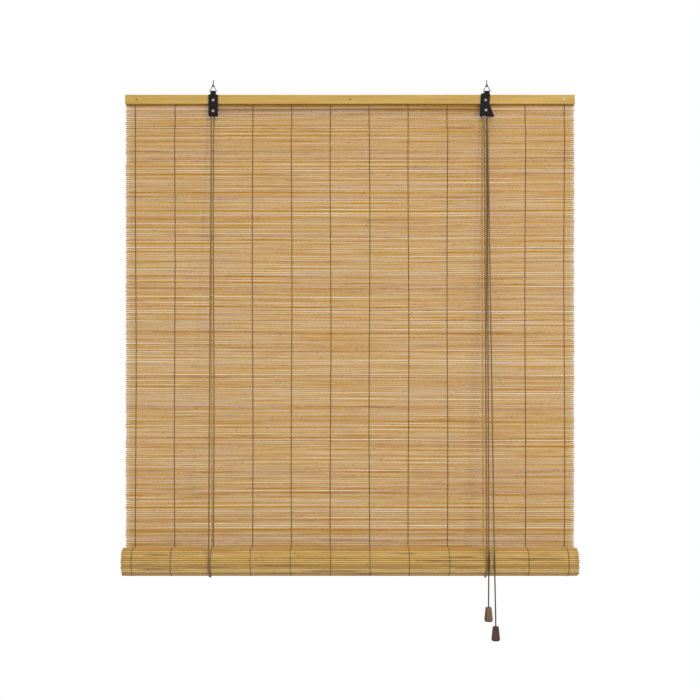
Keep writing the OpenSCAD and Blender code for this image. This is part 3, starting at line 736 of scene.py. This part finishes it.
# %% Leather
leather, tree, shader = new_finish("black_leather", 0.65, Specular_IOR_Level=0.08)
pores = node(tree, "TexVoronoi", {"Scale": 1100.0}, feature="DISTANCE_TO_EDGE").outputs["Distance"]
crease = node(tree, "TexNoise", {"Scale": 230.0, "Detail": 4.0}).outputs["Fac"]
tone = ramp(tree, crease, [(0.4, (0.003, 0.0025, 0.0025)), (0.68, (0.035, 0.029, 0.027))])
tree.links.new(tone, shader.inputs["Base Color"])
bump(tree, shader, maths(tree, "ADD", pores, crease), 0.0003, 0.5)
print("finish", leather.name)

# %% [markdown]
# ### Metal and plastic
# Hooks and rings are dull wire, rivets are plated, nails have gone brown and the pulleys are
# white nylon. A metal shows only what it mirrors, tinted by its base colour, so a dark base makes
# dull wire, and smears in the roughness keep it from looking new.

# %% Metal and plastic
def metal_finish(name, colour, roughness):
    """Bright wire or rivet: full metal, with fine smears in its roughness."""
    finish, tree, shader = new_finish(name, roughness, Metallic=1.0)
    smear = node(tree, "TexNoise", {"Scale": 420.0, "Detail": 3.0}).outputs["Fac"]
    tone = ramp(tree, smear, [(0.3, tuple(0.78 * c for c in colour)), (0.7, colour)])
    tree.links.new(tone, shader.inputs["Base Color"])
    rough = node(tree, "MapRange", {"Value": smear, 3: roughness - 0.08, 4: roughness + 0.1})
    tree.links.new(rough.outputs[0], shader.inputs["Roughness"])
    return finish


zinc = metal_finish("zinc_wire", (0.09, 0.09, 0.092), 0.4)
ring_wire = metal_finish("ring_wire", (0.14, 0.14, 0.143), 0.32)
nickel = metal_finish("nickel_plate", (0.33, 0.325, 0.32), 0.3)
nail_metal = metal_finish("dull_nail", (0.12, 0.08, 0.05), 0.5)
tree = nail_metal.node_tree
shader = tree.nodes["Principled BSDF"]
across = node(tree, "SeparateXYZ", {0: node(tree, "TexCoord").outputs["Object"]}).outputs["X"]
tone = mix(tree, maths(tree, "GREATER_THAN", across, 0.3),
           shader.inputs["Base Color"].links[0].from_socket, rgba(0.5, 0.48, 0.45))
tree.links.new(tone, shader.inputs["Base Color"])
nylon, tree, shader = new_finish("white_nylon", 0.35)
haze = node(tree, "TexNoise", {"Scale": 300.0}).outputs["Fac"]
tone = ramp(tree, haze, [(0.3, (0.72, 0.7, 0.62)), (0.7, (0.82, 0.8, 0.73))])
tree.links.new(tone, shader.inputs["Base Color"])
print("finishes", zinc.name, ring_wire.name, nickel.name, nail_metal.name, nylon.name)

# %% Finishes for the solids that stay
KEEP = {
    rail_wood: ["head_rail", "back_batten", "bottom_bar"],
    first_wood: ["first_tassel"],
    second_wood: ["second_tassel"],
    leather: ["left_strap", "right_strap"],
    nickel: ["upper_rivets", "left_pulley_rivet", "right_pulley_rivet", "cord_staples"],
    nail_metal: ["rail_nails"],
    nylon: ["left_pulley", "right_rear_pulley", "right_front_pulley"],
}
for finish, names in KEEP.items():
    for name in names:
        solid = frame["nodes"][name].data
        solid.materials.clear()
        solid.materials.append(finish)
print(sum(len(names) for names in KEEP.values()), "solids keep their form")

# %% [markdown]
# ### Wire rings
# A ring is one wire, bent at three corners and closed inside the fold of its leather. Its route is
# three arcs of one radius, and the straight lengths between them come by themselves.

# %% Wire rings
RING_Y, RING_BAR = joints["blind_swing"]["pos_m"][1:]
RING_WIRE, RING_BEND, RING_HALF, RISE = 0.0019, 0.0012, 0.00805, 0.0171
LEAN = math.degrees(math.atan2(RING_HALF, RISE))
CORNER_X = RING_HALF - RING_BEND / math.tan(math.radians(45 - LEAN / 2))
TOP_BEND = RISE - RING_BEND / math.sin(math.radians(LEAN))


def ring_path(x):
    """From the middle of the lower bar round the right corner, the top and the left corner."""
    bends = ((CORNER_X, RING_BEND, -90, LEAN), (0, TOP_BEND, LEAN, 180 - LEAN),
             (-CORNER_X, RING_BEND, 180 - LEAN, 270))
    rounds = [arc((x + cx, RING_Y, RING_BAR + cz), RING_BEND, start, end, FACING, 13)
              for cx, cz, start, end in bends]
    middle = [(x, RING_Y, RING_BAR)]
    return np.concatenate([middle, *rounds, middle])


HANGERS = {"left": LEFT_WHEEL[0], "right": -LEFT_WHEEL[0]}
for side, x in HANGERS.items():
    piece = tube(side + "_ring_wire", ring_path(x), RING_WIRE, 0.0004, 12, across=Y_AXIS)[0]
    dress(piece, ring_wire)
    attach(piece, "rings")
    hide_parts(side + "_ring")

# %% [markdown]
# ### Screw hooks
# A hook is one wire: a point, a coarse thread, a straight shank and a bend. Its thread is a ridge
# that climbs by one pitch per turn, so the radius of the wire depends on the run along it and the
# angle round it.

# %% Screw hooks
HOOK_WIRE, HOOK_BEND, HOOK_DEPTH = 0.0025, 0.0036, 0.0038
HOOK_POINT, HOOK_TIP = 0.0085, -0.0026
SCREW_RUN, SCREW_PITCH = 0.0095, 0.0014


def hook_path(x):
    """The wire's middle: down the shank from its point, round the bend and up to the tip."""
    bend = arc((x, -HOOK_BEND, -HOOK_DEPTH), HOOK_BEND, 0, -180, SIDE_ON, 25)
    return np.concatenate([[(x, 0, HOOK_POINT)], bend, [(x, -2 * HOOK_BEND, HOOK_TIP)]])


def hook_shape(run, angle):
    """Scale of the radius: a point over the first 2.5 mm, a threaded ridge down to 9.5 mm, then
    plain wire that tapers at the tip."""
    ridge = np.abs(((run / SCREW_PITCH + angle / (2 * math.pi)) % 1) * 2 - 1)
    screw = np.where(run < SCREW_RUN, 0.68 + 0.32 * ridge, 1)
    point = np.clip(0.15 + run / 0.0025, 0, 1)
    tip = np.clip((run[-1] - run) / 0.0008 + 0.6, 0, 1)
    return screw * point * tip


for side, x in HANGERS.items():
    piece = tube(side + "_hook_wire", hook_path(x), HOOK_WIRE, 0.0002, 16, shape=hook_shape)[0]
    dress(piece, zinc)
    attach(piece, "hooks")
    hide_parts(side + "_hook")

# %% [markdown]
# ## Studio
# The main lamp stands to the right of the camera and a little above it, so that hangers and cords
# throw soft shadows to the left. A wide lamp on the left fills these in, and one above draws the
# tops of the rail and the roll. As light, the world is grey and brighter above than below; to the
# camera it is white, so the background is white and the object isn't lit by it twice. The
# floor lies below the reach of the tassels when the blind is up.

# %% Lamps, world and floor
def soft_lamp(name, place, target, size, power):
    """A square area lamp that faces a point."""
    lamp = bpy.data.objects.new(name, bpy.data.lights.new(name, "AREA"))
    bpy.context.collection.objects.link(lamp)
    lamp.data.size = size
    lamp.data.energy = power
    lamp.location = place
    way = np.subtract(target, place)
    tilt = math.acos(-way[2] / np.linalg.norm(way))
    lamp.rotation_euler = (tilt, 0, math.atan2(way[1], way[0]) - math.pi / 2)
    print(name, "lamp of", power, "W")


MIDDLE = (0, 0, -0.6)
soft_lamp("key", (2.0, -2.8, 0.4), MIDDLE, 0.6, 31)
soft_lamp("fill", (-2.4, -2.6, 0), MIDDLE, 2.4, 14)
soft_lamp("top", (0.3, -2.2, 1.7), MIDDLE, 1.2, 16)
world = bpy.data.worlds.new("studio")
bpy.context.scene.world = world
world.use_nodes = True
tree = world.node_tree
light = tree.nodes["Background"]
light.inputs["Color"].default_value = rgba(1, 1, 1)
way = node(tree, "SeparateXYZ", {0: node(tree, "TexCoord").outputs["Generated"]}).outputs["Z"]
sky = node(tree, "MapRange", {"Value": way, 1: -1.0, 2: 1.0, 3: 0.06, 4: 0.94}).outputs[0]
tree.links.new(sky, light.inputs["Strength"])
white = node(tree, "Background", {"Color": rgba(1, 1, 1), "Strength": 1.0})
rays = node(tree, "LightPath").outputs
mirrored = maths(tree, "MAXIMUM", rays["Is Glossy Ray"], rays["Is Transmission Ray"])
seen = maths(tree, "MAXIMUM", rays["Is Camera Ray"], mirrored)
both = node(tree, "MixShader", {0: seen, 1: light.outputs[0], 2: white.outputs[0]})
tree.links.new(both.outputs[0], tree.nodes["World Output"].inputs["Surface"])

FLOOR_Z, FLOOR_HALF = -3.25, 5
corners = [(x * FLOOR_HALF, y * FLOOR_HALF, FLOOR_Z)
           for x, y in ((-1, -1), (1, -1), (1, 1), (-1, 1))]
floor_mesh = bpy.data.meshes.new("floor")
floor_mesh.from_pydata(corners, [], [(0, 1, 2, 3)])
floor = bpy.data.objects.new("floor", floor_mesh)
bpy.context.collection.objects.link(floor)
pale, tree, shader = new_finish("pale_floor", 0.8)
shader.inputs["Base Color"].default_value = rgba(0.82, 0.82, 0.82)
floor_mesh.materials.append(pale)
bpy.context.scene.view_settings.view_transform = "Standard"
print("floor at", FLOOR_Z)
